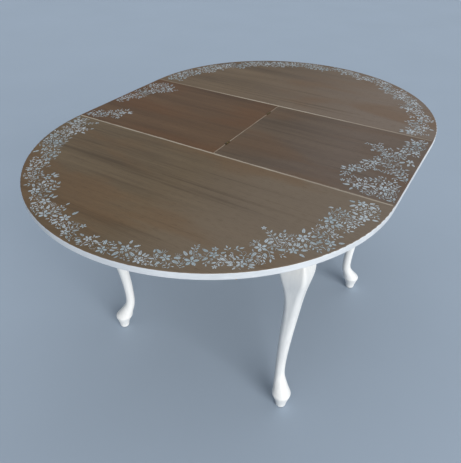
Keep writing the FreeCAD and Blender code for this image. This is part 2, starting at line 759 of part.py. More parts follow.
def make_leaf():
    hinge_rooms = []
    for number, hinge in enumerate(HINGE_PLACES):
        low = f"{hinge} - hinge_length / 2 - joint_clearance"
        high = f"{hinge} + hinge_length / 2 + joint_clearance"
        hinge_rooms.append(block(f"plate_room_{number}", ("0", PLATE_BACK), (low, high),
                                 (f"{PLATE_BOTTOM} - joint_clearance", "table_height")))
        hinge_rooms.append(rod(f"knuckle_room_{number}", "y", "knuckle_radius + knuckle_clearance",
                               "hinge_length + 2 * joint_clearance", ("0", low, HINGE_AXIS)))
    screw_rooms = hinge_screw_rooms()

    batten_middle = f"({BATTEN_OUTER} - batten_width / 2)"
    batten_seat = f"{UNDERSIDE} - batten_height + screw_head_height"
    batten_screw_length = "(batten_height - screw_head_height + screw_bite)"
    batten_screws = []
    batten_rooms = []
    for number, side in enumerate(("-", "")):
        seat = (batten_middle, f"{side}batten_screw_pitch / 2", batten_seat)
        batten_screws.append(screw(f"batten_screw_{number}", "z", seat, batten_screw_length))
        name = f"batten_room_{number}"
        batten_rooms.append(screw_room(name, "z", seat, batten_screw_length, "batten_height"))

    long_edges = [
        arris("far_long_edge", "x", ("0", "end_radius"), LEAF_EDGE),
        arris("near_long_edge", "x", ("0", "end_radius"), f"-{LEAF_EDGE}"),
    ]
    fold_edge = arris("fold_edge", "y", (f"-{LEAF_EDGE}", LEAF_EDGE), PLATE_FACE)
    blank = block("leaf_blank", (PLATE_FACE, LIPPING_INNER), (f"-{LEAF_EDGE}", LEAF_EDGE),
                  (UNDERSIDE, "table_height"))
    tools = hinge_rooms + screw_rooms + batten_rooms + long_edges + [fold_edge]

    body = doc.addObject("PartDesign::Body", "leaf_lipping_blank")
    strip = body.newObject("PartDesign::Pad", "leaf_lipping_strip")
    strip.Profile = lipping_profile(body, LIPPING_INNER)
    bind(strip, {"Length": "leaf_width"})
    place(body, "0", LEAF_EDGE, UNDERSIDE)

    batten_blank = block(
        "batten_blank",
        (f"{BATTEN_OUTER} - batten_width", BATTEN_OUTER),
        ("-batten_length / 2", "batten_length / 2"),
        (f"{UNDERSIDE} - batten_height", UNDERSIDE),
    )
    screws = []
    for number, seat in enumerate(hinge_screw_seats()):
        screws.append(screw(f"hinge_screw_{number}", "x", seat, HINGE_SCREW_LENGTH, "hinge_screw"))
    pieces = {
        "board": cut("leaf_board", blank, tools),
        "lipping": cut("leaf_lipping", body, long_edges),
        "batten": cut("leaf_batten", batten_blank, batten_rooms),
        "batten_screws": group("batten_screw_set", batten_screws),
        "hinge_screws": group("hinge_screw_set", screws),
    }
    for name, item in pieces.items():
        keep(f"leaf_right_{name}", item)
        keep(f"leaf_left_{name}", mirrored(item, X))

    plates = {"right": (0,), "left": (-1, 1)}
    for side, thirds in plates.items():
        items = []
        for number, hinge in enumerate(HINGE_PLACES):
            rooms = screw_rooms[2 * number:2 * number + 2]
            items.append(hinge_plate(f"{side}_plate_{number}", hinge, thirds, rooms))
        plate_set = group(f"{side}_plate_set", items)
        keep(f"leaf_{side}_hinge_plates", plate_set if side == "right" else mirrored(plate_set, X))
    pins = []
    for number, hinge in enumerate(HINGE_PLACES):
        start = ("0", f"{hinge} - hinge_length / 2", HINGE_AXIS)
        pins.append(rod(f"hinge_pin_{number}", "y", "pin_radius", "hinge_length", start))
    keep("leaf_hinge_pins", group("hinge_pin_set", pins))


def check():
    """Stop if any object failed, a sketch is loose or a sub-part has no sound shape."""
    for item in doc.Objects:
        if "Invalid" in item.State or "Error" in item.State:
            raise RuntimeError(f"{item.Name} failed: {item.State}")
        if item.TypeId == "Sketcher::SketchObject" and not item.FullyConstrained:
            raise RuntimeError(f"{item.Name} isn't fully constrained")
    for node, item in nodes.items():
        if item.Shape.isNull() or not item.Shape.isValid():
            raise RuntimeError(f"{node} has no valid shape")


make_legs()
make_corner_blocks()
make_leg_bolts()
make_end_apron("apron_far", (f"{FAR_RUNNER_INNER} - slide_clearance", GUIDE_INNER))
make_end_apron("apron_near", (GUIDE_OUTER, POST_INNER), Y)
make_side_aprons()
make_guides()
make_bearers()
make_end("far_end", (FAR_RUNNER_INNER, FAR_RUNNER_OUTER),
         (f"{GUIDE_INNER} - tongue_reach - slide_clearance", GUIDE_INNER))
make_end("near_end", (NEAR_RUNNER_INNER, NEAR_RUNNER_OUTER),
         (GUIDE_OUTER, f"{GUIDE_OUTER} + tongue_reach + slide_clearance"), Y)
make_buttons()
make_leaf()
doc.recompute()
check()

os.makedirs("parts", exist_ok=True)
for node, item in nodes.items():
    item.Shape.exportStep(f"parts/{node}.step")
print(len(nodes), "nodes,", sum(len(item.Shape.Solids) for item in nodes.values()), "solids")
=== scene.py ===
import math
import random
import bpy
import numpy as np
from mathutils import Matrix, Vector


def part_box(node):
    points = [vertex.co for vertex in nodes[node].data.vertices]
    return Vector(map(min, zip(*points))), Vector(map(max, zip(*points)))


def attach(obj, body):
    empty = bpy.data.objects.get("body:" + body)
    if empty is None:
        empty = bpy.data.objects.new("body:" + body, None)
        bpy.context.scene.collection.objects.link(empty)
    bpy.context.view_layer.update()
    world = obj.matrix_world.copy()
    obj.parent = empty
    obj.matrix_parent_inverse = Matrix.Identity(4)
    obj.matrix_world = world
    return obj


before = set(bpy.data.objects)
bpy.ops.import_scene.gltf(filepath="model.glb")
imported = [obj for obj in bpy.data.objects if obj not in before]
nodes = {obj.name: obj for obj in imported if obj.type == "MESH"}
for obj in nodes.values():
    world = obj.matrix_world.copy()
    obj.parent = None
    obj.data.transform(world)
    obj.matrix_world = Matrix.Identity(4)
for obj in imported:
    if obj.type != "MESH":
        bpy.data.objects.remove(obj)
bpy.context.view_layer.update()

# Extending table: brown stained boards with a pale stencilled border, white painted edge and legs,
# bare wood and metal fittings underneath. Metres, except in the stencil, which is in millimetres.

MM = 0.001
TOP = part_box("far_end_board")[1].z
END_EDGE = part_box("far_end_board")[0].y
END_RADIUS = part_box("far_end_lipping")[1].x
LEAF_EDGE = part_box("leaf_right_board")[1].y
FOLD_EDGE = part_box("leaf_right_board")[0].x
HINGE_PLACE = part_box("leaf_hinge_pins")[1].y


def srgb(red, green, blue):
    """A screen colour, 0 to 255, in the linear values that a shader takes."""
    shares = [value / 255 for value in (red, green, blue)]
    return tuple(s / 12.92 if s <= 0.04045 else ((s + 0.055) / 1.055) ** 2.4 for s in shares) + (1.0,)


class Finish:
    """A material, with short ways to add nodes to it."""

    def __init__(self, name):
        self.material = bpy.data.materials.new(name)
        self.material.use_nodes = True
        self.tree = self.material.node_tree
        self.shader = self.tree.nodes["Principled BSDF"]
        self.place = self.add("ShaderNodeTexCoord").outputs["Object"]
        self.x, self.y, self.z = self.add("ShaderNodeSeparateXYZ", {"Vector": self.place}).outputs

    def put(self, socket, value):
        """Link an input to another node's output, or set it to a plain value."""
        if isinstance(value, bpy.types.NodeSocket):
            self.tree.links.new(value, socket)
        else:
            socket.default_value = value

    def add(self, kind, inputs=None, **settings):
        """A new node with some of its inputs and settings."""
        item = self.tree.nodes.new(kind)
        for name, value in settings.items():
            setattr(item, name, value)
        for name, value in (inputs or {}).items():
            self.put(item.inputs[name], value)
        return item

    def noise(self, stretch, offset=(0, 0, 0), detail=3.0, distortion=0.0):
        """Noise, 0 to 1, with so many features per metre along each axis."""
        inputs = {"Vector": self.place, "Location": offset, "Scale": stretch}
        moved = self.add("ShaderNodeMapping", inputs).outputs[0]
        inputs = {"Vector": moved, "Scale": 1.0, "Detail": detail, "Distortion": distortion}
        return self.add("ShaderNodeTexNoise", inputs).outputs["Fac"]

    def maths(self, operation, first, second=0.0):
        """One step of arithmetic with two values."""
        item = self.add("ShaderNodeMath", operation=operation)
        self.put(item.inputs[0], first)
        self.put(item.inputs[1], second)
        return item.outputs[0]

    def times(self, first, second):
        return self.maths("MULTIPLY", first, second)

    def weigh(self, *pairs):
        """The sum of values times their weights."""
        total = 0.0
        for value, weight in pairs:
            total = self.maths("ADD", self.times(value, weight), total)
        return total

    def smooth(self, value, start, end):
        """0 up to the start, 1 from the end on and eased between; the start may be the greater one."""
        inputs = {"Value": value, "From Min": start, "From Max": end}
        return self.add("ShaderNodeMapRange", inputs, interpolation_type="SMOOTHSTEP").outputs["Result"]

    def ramp(self, value, stops):
        """A colour for each value, from pairs of a value and the colour there."""
        item = self.add("ShaderNodeValToRGB", {"Fac": value})
        while len(item.color_ramp.elements) < len(stops):
            item.color_ramp.elements.new(0.5)
        for element, (position, colour) in zip(item.color_ramp.elements, stops):
            element.position = position
            element.color = colour
        return item.outputs["Color"]

    def along_x(self, stops):
        """A value that changes along X, from pairs of a place and the value there."""
        first = stops[0][0]
        reach = stops[-1][0] - first
        share = self.maths("DIVIDE", self.maths("SUBTRACT", self.x, first), reach)
        greys = [((place - first) / reach, (value, value, value, 1)) for place, value in stops]
        return self.ramp(share, greys)

    def mix(self, share, first, second):
        """The first colour, going over to the second as the share goes from 0 to 1."""
        item = self.add("ShaderNodeMix", data_type="RGBA")
        colours = [socket for socket in item.inputs if socket.type == "RGBA"]
        self.put(item.inputs[0], share)
        self.put(colours[0], first)
        self.put(colours[1], second)
        return next(socket for socket in item.outputs if socket.type == "RGBA")

    def bump(self, height, depth):
        """Relief of a depth in metres."""
        inputs = {"Height": height, "Strength": 1.0, "Distance": depth}
        normal = self.add("ShaderNodeBump", inputs).outputs["Normal"]
        self.put(self.shader.inputs["Normal"], normal)

    def shine(self, level):
        self.shader.inputs["Specular IOR Level"].default_value = level

    def coat(self, colour, roughness):
        """The material, with its colour and roughness."""
        self.put(self.shader.inputs["Base Color"], colour)
        self.put(self.shader.inputs["Roughness"], roughness)
        return self.material


def even(count):
    """As many features per metre along each axis."""
    return (count, count, count)


def axis_stretch(axis, along, across):
    """Features per metre along one axis and across it."""
    return tuple(along if name == axis else across for name in "xyz")


# Brown stained wood: a middle tone and a place in the noise for each board
STAINS = {
    "near_end": ((101, 86, 67), (3.1, 7.4, 0.0)),
    "far_end": ((102, 86, 68), (8.6, 1.9, 0.0)),
    "leaf_left": ((92, 71, 52), (5.2, 4.7, 0.0)),
    "leaf_right": ((94, 79, 64), (1.7, 9.3, 0.0)),
}
DARK_GRAIN = (0.72, 0.69, 0.66)
NO_TINT = (1.0, 1.0, 1.0)
LIGHT_GRAIN = (1.12, 1.13, 1.14)
WARM_GRAIN = (1.06, 0.95, 0.84)
BARE_EDGE = srgb(188, 179, 164)
DULL_SHINE = 0.2
# Wear along the seams: its strength at places along X and, on the two ends, its width
SEAM_WEAR = {
    "near_end": ((-0.5, 0.56), (0.1, 0.62), (0.5, 0.46)),
    "far_end": ((-0.5, 0.2), (-0.3, 0.25), (-0.1, 0.7), (0.05, 0.72), (0.25, 0.42), (0.5, 0.22)),
    "leaf_left": ((-0.5, 0.4), (0.0, 0.55)),
    "leaf_right": ((0.0, 0.55), (0.5, 0.3)),
}
SEAM_WIDTH = {"near_end": 5.6 * MM, "far_end": 3.0 * MM}
# Painted sheen: the stain paler and cooler towards +X, as where light glances off it, and how far it
# shows at places along X
SHEEN_TINT = (1.15, 1.2, 1.34)
SHEEN_SPREAD = {
    "near_end": ((-0.5, 0.0), (0.0, 0.0), (0.2, 0.6), (0.5, 1.0)),
    "far_end": ((-0.5, 0.0), (-0.2, 0.0), (0.0, 0.35), (0.3, 1.0), (0.5, 1.0)),
    "leaf_left": ((-0.5, 0.0), (0.0, 0.0)),
    "leaf_right": ((0.0, 0.0), (0.06, 0.0), (0.3, 0.6), (0.5, 0.6)),
}
# How far the stain shows through thin spots of the stencil's paint, at places along X
THIN_PAINT = ((-0.5, 0.9), (0.0, 0.75), (0.5, 0.45))
# White paint, thin and full, on the legs and aprons and on the edge of the top; the edge's white is a
# greyer, bluer copy, a painted shade
LEG_WHITE = (srgb(232, 233, 232), srgb(242, 242, 240))
SHADED_EDGE_WHITE = (srgb(204, 209, 214), srgb(218, 222, 226))
# Brush strokes per metre along X, Y and Z
LEG_STROKES = (130.0, 130.0, 9.0)
EDGE_STROKES = (60.0, 60.0, 420.0)
# The heights between which the edge's white paint goes over to stain
STAIN_ENDS = (TOP - 1.5 * MM, TOP - 0.9 * MM)


def tinted(colour, tint):
    return tuple(value * share for value, share in zip(colour, tint))


def stained_wood(finish, body):
    """Colour, roughness and relief of a stained board with its grain along X."""
    middle, offset = STAINS[body]

    def grain(along, across, **settings):
        return finish.noise(axis_stretch("x", along, across), offset, **settings)

    cloud = grain(1.6, 4.5)
    streak = grain(1.3, 22.0, detail=4.0, distortion=0.5)
    figure = grain(3.5, 95.0, distortion=0.6)
    fibre = grain(8.0, 260.0)
    pores = grain(40.0, 1100.0, detail=1.0)
    lines = grain(1.6, 46.0, distortion=0.7)
    red_patches = finish.noise(axis_stretch("x", 2.6, 7.0), offset[::-1], distortion=0.4)

    tints = (DARK_GRAIN, NO_TINT, LIGHT_GRAIN, WARM_GRAIN, SHEEN_TINT)
    dark, plain, light, warm, sheen_colour = (srgb(*tinted(middle, tint)) for tint in tints)
    tone = finish.weigh((cloud, 0.36), (streak, 0.32), (figure, 0.16), (fibre, 0.16))
    colour = finish.ramp(tone, ((0.34, dark), (0.50, plain), (0.64, light)))
    # Painted sheen: the stain goes paler and cooler towards +X
    colour = finish.mix(finish.along_x(SHEEN_SPREAD[body]), colour, sheen_colour)
    reddish = finish.times(finish.smooth(red_patches, 0.46, 0.66), 0.5)
    colour = finish.mix(reddish, colour, warm)
    dark_lines = finish.times(finish.smooth(lines, 0.58, 0.76), 0.5)
    colour = finish.mix(dark_lines, colour, dark)
    pore_marks = finish.times(finish.smooth(pores, 0.56, 0.70), 0.45)
    colour = finish.mix(pore_marks, colour, dark)

    finish.shine(DULL_SHINE)
    roughness = finish.weigh((fibre, 0.16), (cloud, 0.1), (1.0, 0.5))
    relief = finish.weigh((fibre, 0.6), (pore_marks, -0.6))
    return colour, roughness, relief


def white_paint(finish, strokes, whites):
    """Colour, roughness and relief of brushed satin paint."""
    brush = finish.noise(strokes, (2.0, 5.0, 1.0), detail=4.0)
    cloud = finish.noise(even(7.0), (4.0, 2.0, 6.0))
    tone = finish.weigh((brush, 0.5), (cloud, 0.5))
    colour = finish.mix(finish.smooth(tone, 0.35, 0.65), *whites)
    roughness = finish.weigh((brush, 0.16), (cloud, 0.14), (1.0, 0.34))
    return colour, roughness, brush


def end_wear(finish, width, from_middle, wander):
    """Where an end is worn bare, along its straight seam."""
    fades_out = (width + 0.8 * MM, width - 0.4 * MM)
    inward = finish.maths("SUBTRACT", from_middle, END_EDGE)
    ragged = finish.weigh((wander, 2.0), (inward, 1.0))
    return finish.smooth(ragged, *fades_out)


def leaf_wear(finish, from_middle, wander):
    """Where a half of the leaf is worn bare, along its seams and its fold, more between the hinges."""
    seam_fades_out = (0.9 * MM, 0.3 * MM)
    fold_fades_out = (1.9 * MM, 0.9 * MM)
    hinge_span = (HINGE_PLACE + 20 * MM, HINGE_PLACE - 10 * MM)
    inward = finish.maths("SUBTRACT", LEAF_EDGE, from_middle)
    seam_bare = finish.smooth(finish.maths("ADD", inward, wander), *seam_fades_out)
    from_fold = finish.maths("SUBTRACT", finish.maths("ABSOLUTE", finish.x), FOLD_EDGE)
    fold_bare = finish.smooth(finish.maths("ADD", from_fold, wander), *fold_fades_out)
    between_hinges = finish.smooth(from_middle, *hinge_span)
    fold_strength = finish.weigh((between_hinges, 0.1), (1.0, 0.5))
    return finish.maths("MAXIMUM", seam_bare, finish.times(fold_bare, fold_strength))


def board_finish(body):
    """A board's stain, worn pale along its seams."""
    offset = STAINS[body][1]
    finish = Finish(f"{body}_board")
    colour, roughness, relief = stained_wood(finish, body)
    from_middle = finish.maths("ABSOLUTE", finish.y)
    wander = finish.weigh((finish.noise(even(35.0), offset), 1.6 * MM), (1.0, -0.8 * MM))
    if body in SEAM_WIDTH:
        bare = end_wear(finish, SEAM_WIDTH[body], from_middle, wander)
    else:
        bare = leaf_wear(finish, from_middle, wander)
    patches = finish.smooth(finish.noise(even(9.0), offset), 0.25, 0.6)
    patchy = finish.weigh((patches, 0.35), (1.0, 0.75))
    strength = finish.times(finish.along_x(SEAM_WEAR[body]), patchy)
    colour = finish.mix(finish.times(bare, strength), colour, BARE_EDGE)
    finish.bump(relief, depth=0.12 * MM)
    return finish.coat(colour, roughness)


def lipping_finish(body):
    """The edge lipping: stain on top, white paint on its side."""
    finish = Finish(f"{body}_lipping")
    stain, stain_roughness, _ = stained_wood(finish, body)
    # The edge's white is greyer and bluer than the legs' white: painted shade
    white, white_roughness, brush = white_paint(finish, EDGE_STROKES, SHADED_EDGE_WHITE)
    wander = finish.noise(even(28.0), STAINS[body][1])
    height = finish.weigh((finish.z, 1.0), (wander, 0.8 * MM), (1.0, -0.4 * MM))
    stained = finish.smooth(height, *STAIN_ENDS)
    inputs = {"Factor": stained, "A": white_roughness, "B": stain_roughness}
    roughness = finish.add("ShaderNodeMix", inputs).outputs[0]
    finish.bump(brush, depth=0.1 * MM)
    return finish.coat(finish.mix(stained, white, stain), roughness)


def paint_finish(name, strokes):
    """White paint of the legs and aprons."""
    finish = Finish(name)
    colour, roughness, brush = white_paint(finish, strokes, LEG_WHITE)
    finish.bump(brush, depth=0.15 * MM)
    return finish.coat(colour, roughness)


def bare_wood_finish(name, axis):
    """Planed unfinished wood with its grain along one axis."""
    finish = Finish(name)
    offset = (1.3, 2.9, 6.1)
    streak = finish.noise(axis_stretch(axis, 2.0, 55.0), offset, detail=4.0, distortion=0.6)
    fibre = finish.noise(axis_stretch(axis, 25.0, 700.0), offset, detail=2.0)
    tone = finish.weigh((streak, 0.7), (fibre, 0.3))
    stops = ((0.3, srgb(150, 115, 76)), (0.5, srgb(186, 152, 108)), (0.7, srgb(205, 176, 134)))
    finish.bump(fibre, depth=0.1 * MM)
    roughness = finish.weigh((fibre, 0.2), (1.0, 0.55))
    return finish.coat(finish.ramp(tone, stops), roughness)


def metal_finish(name, dull, bright, roughness):
    """Metal with dull spots and fine scratches; the roughness is its mean."""
    finish = Finish(name)
    spots = finish.noise(even(160.0), (3.0, 1.0, 8.0), detail=4.0)
    scratches = finish.noise((90.0, 2200.0, 900.0), (6.0, 2.0, 1.0), detail=2.0)
    tone = finish.weigh((spots, 0.7), (scratches, 0.3))
    finish.shader.inputs["Metallic"].default_value = 1.0
    finish.bump(scratches, depth=0.02 * MM)
    spotted = finish.weigh((spots, 0.3), (1.0, roughness - 0.15))
    return finish.coat(finish.ramp(tone, ((0.35, dull), (0.65, bright))), spotted)


def felt_finish():
    """Grey felt."""
    finish = Finish("felt")
    fuzz = finish.noise(even(1800.0), detail=4.0)
    cloud = finish.noise(even(150.0), detail=2.0)
    tone = finish.weigh((fuzz, 0.6), (cloud, 0.4))
    stops = ((0.3, srgb(70, 66, 60)), (0.7, srgb(112, 106, 98)))
    finish.bump(fuzz, depth=0.3 * MM)
    return finish.coat(finish.ramp(tone, stops), roughness=0.95)


def stencil_finish():
    """Pale blue-grey paint dabbed on with a brush, thin in spots."""
    finish = Finish("stencil_paint")
    dabs = finish.noise(even(420.0), (5.0, 3.0, 2.0))
    cloud = finish.noise(even(22.0), (1.0, 6.0, 4.0), detail=2.0)
    full = finish.mix(finish.smooth(cloud, 0.35, 0.65), srgb(152, 170, 179), srgb(186, 198, 206))
    thin = finish.times(finish.smooth(dabs, 0.56, 0.36), finish.along_x(THIN_PAINT))
    stain = srgb(*STAINS["near_end"][0])
    roughness = finish.weigh((dabs, 0.2), (1.0, 0.42))
    finish.bump(dabs, depth=0.05 * MM)
    return finish.coat(finish.mix(thin, full, stain), roughness)


BARE_WOOD = {axis: bare_wood_finish(f"bare_wood_{axis}", axis) for axis in "xy"}
LEG_PAINT = paint_finish("leg_paint", LEG_STROKES)
APRON_PAINT = {
    axis: paint_finish(f"apron_paint_{axis}", axis_stretch(axis, 8.0, 300.0)) for axis in "xy"
}
BRASS = metal_finish("aged_brass", srgb(72, 60, 38), srgb(116, 97, 60), roughness=0.45)
STEEL = metal_finish("zinc_steel", srgb(140, 142, 145), srgb(192, 194, 196), roughness=0.36)
FELT = felt_finish()
STENCIL_PAINT = stencil_finish()


def fitting_finish(node):
    """The finish of a node that isn't part of the top."""
    place = node.split("_")[1]
    if node.startswith("leg_") and place in ("near", "far"):
        return LEG_PAINT
    if node.startswith("apron"):
        return APRON_PAINT["y" if place in ("right", "left") else "x"]
    if node.startswith("foot_pads"):
        return FELT
    if "hinge_plates" in node or "hinge_pins" in node:
        return BRASS
    if "screws" in node or node in ("leg_bolts", "leg_washers", "leg_nuts"):
        return STEEL
    if "bearer" in node or node.startswith("corner_block"):
        return BARE_WOOD["x"]
    return BARE_WOOD["y"]


def give_finish(node, material):
    slots = nodes[node].data.materials
    slots.clear()
    slots.append(material)


for body in STAINS:
    give_finish(f"{body}_board", board_finish(body))
    give_finish(f"{body}_lipping", lipping_finish(body))
for node in nodes:
    if not node.endswith(("_board", "_lipping")):
        give_finish(node, fitting_finish(node))

# The stencilled border: blossoms, sprigs and leaves laid out by chance from a seed, each a thin film
# of paint, with bare bridges between them as a stencil has. In millimetres, and in radians unless
# degrees are named.
RIM = END_RADIUS / MM
SEAM = END_EDGE / MM
LEAF_SIDE = LEAF_EDGE / MM
RIM_MARGIN = 5
END_SEAM_MARGIN = 6
LEAF_SEAM_MARGIN = 5
FOLD_MARGIN = 40
# The film's upper and lower face, from the top of the board
FILM_TOP = 0.15
FILM_ROOT = -0.02
# The grid that keeps shapes apart
CELL = 0.5
BRIDGE_CELLS = 2
# Lines
VINE_WIDTH = 1.4
STEM_WIDTH = 1.1
STALK_WIDTH = 0.9
TENDRIL_WIDTH = 0.8
LINE_TAPER = 0.5
SHORTEST_LINE = 5
LINE_STEP = 3
# Leaves: shares of their length, the gap between a stem and its leaves, and the split along the vein
LEAF_WIDTH = 0.36
LEAF_BELLY = 0.42
LEAF_GAP = 2.0
SPLIT_LENGTH = 12
SPLIT_SPAN = (0.1, 0.94)
VEIN = 0.3
VINE_LEAF = 17
VINE_LEAF_SPACING = 13
# Blossoms: shares of their radius, and the leaves round a large one
PETALS = 5
DOT_RADIUS = 0.11
PETAL_START = 0.17
PETAL_LENGTH = 0.83
PETAL_WIDTH = 0.48
POSY_LEAVES = 7
POSY_GAP = 2.5
# Least and greatest sizes that chance picks between
POSY_RADIUS = (10, 16)
POSY_LEAF = (13, 21)
TIP_BLOSSOM = (6, 9)
SMALL_BLOSSOM = (4.5, 7)
SMALL_TENDRIL = (6, 9)
SMALL_LEAF = (6, 9)
TINY_LEAF = (4.5, 6.5)
# Ranges of a leaf's lean, of its size as a share of the usual one and of the bends of stems
LEAF_LEAN_DEGREES = (38, 58)
LEAF_VARIETY = (0.85, 1.15)
SPRIG_BEND = (0.3, 1.1)
TWIG_BEND = (-0.5, 0.5)
# Shares of the sprigs that end in a blossom and in a leaf; the others end in buds
BLOSSOM_TIPS = 0.35
LEAF_TIPS = 0.45
BUD_LEANS = (-0.5, 0, 0.5)
# How many of the small shapes that fill a border are twigs
TWIG_SHARE = 0.6
# About a full turn, for the heading of a shape and for the start of a blossom or a wave
ANY_HEADING = 6.3
ANY_START = 6


def spread(cells):
    """Grow a patch of grid cells by the width of a bridge."""
    for _ in range(BRIDGE_CELLS):
        grown = cells.copy()
        grown[1:] |= cells[:-1]
        grown[:-1] |= cells[1:]
        grown[:, 1:] |= cells[:, :-1]
        grown[:, :-1] |= cells[:, 1:]
        cells = grown
    return cells


def polar(middle, angle, distance):
    """The place at a distance from another one, in a direction."""
    return middle[0] + distance * math.cos(angle), middle[1] + distance * math.sin(angle)


def beside(point, heading, side, distance):
    """The place beside a line's point, on its left where side is 1 and on its right where it is -1."""
    return polar(point, heading + side * math.pi / 2, distance)


def oval(base, heading, length, width, belly):
    """A pointed leaf or petal whose widest place is a share, belly, of its length from the base."""
    stations = 6
    sharpness = 1.9
    fullest = (belly ** belly * (1 - belly) ** (1 - belly)) ** sharpness
    left = []
    right = []
    for number in range(1, stations):
        share = number / stations
        half = width / 2 * (share ** belly * (1 - share) ** (1 - belly)) ** sharpness / fullest
        middle = polar(base, heading, length * share)
        left.append(beside(middle, heading, 1, half))
        right.append(beside(middle, heading, -1, half))
    return [base] + right + [polar(base, heading, length)] + left[::-1]


def disc(middle, radius):
    sides = 8
    return [polar(middle, 2 * math.pi * number / sides, radius) for number in range(sides)]


def curve(start, heading, length, bend):
    """Points a millimetre apart along a line that turns by bend in all, more towards its end."""
    points = [start]
    steps = max(2, round(length))
    for number in range(steps):
        heading += bend * 2 * (number + 0.5) / steps ** 2
        points.append(polar(points[-1], heading, 1))
    return points


def between(before, start, end, after, share):
    """A value on a smooth curve from start to end that also heeds its neighbours."""
    square = 2 * before - 5 * start + 4 * end - after
    cube = 3 * (start - end) + after - before
    return start + 0.5 * share * (end - before + share * (square + share * cube))


def through(points):
    """A smooth line through a few points, in steps of about a millimetre."""
    padded = [points[0]] + list(points) + [points[-1]]
    line = []
    for four in zip(padded, padded[1:], padded[2:], padded[3:]):
        steps = max(1, round(math.dist(four[1], four[2])))
        for number in range(steps):
            line.append(tuple(between(*values, number / steps) for values in zip(*four)))
    return line


def heading_at(points, number):
    """The direction of a line at one of its points."""
    first = points[max(0, number - 1)]
    last = points[min(len(points) - 1, number + 1)]
    return math.atan2(last[1] - first[1], last[0] - first[0])


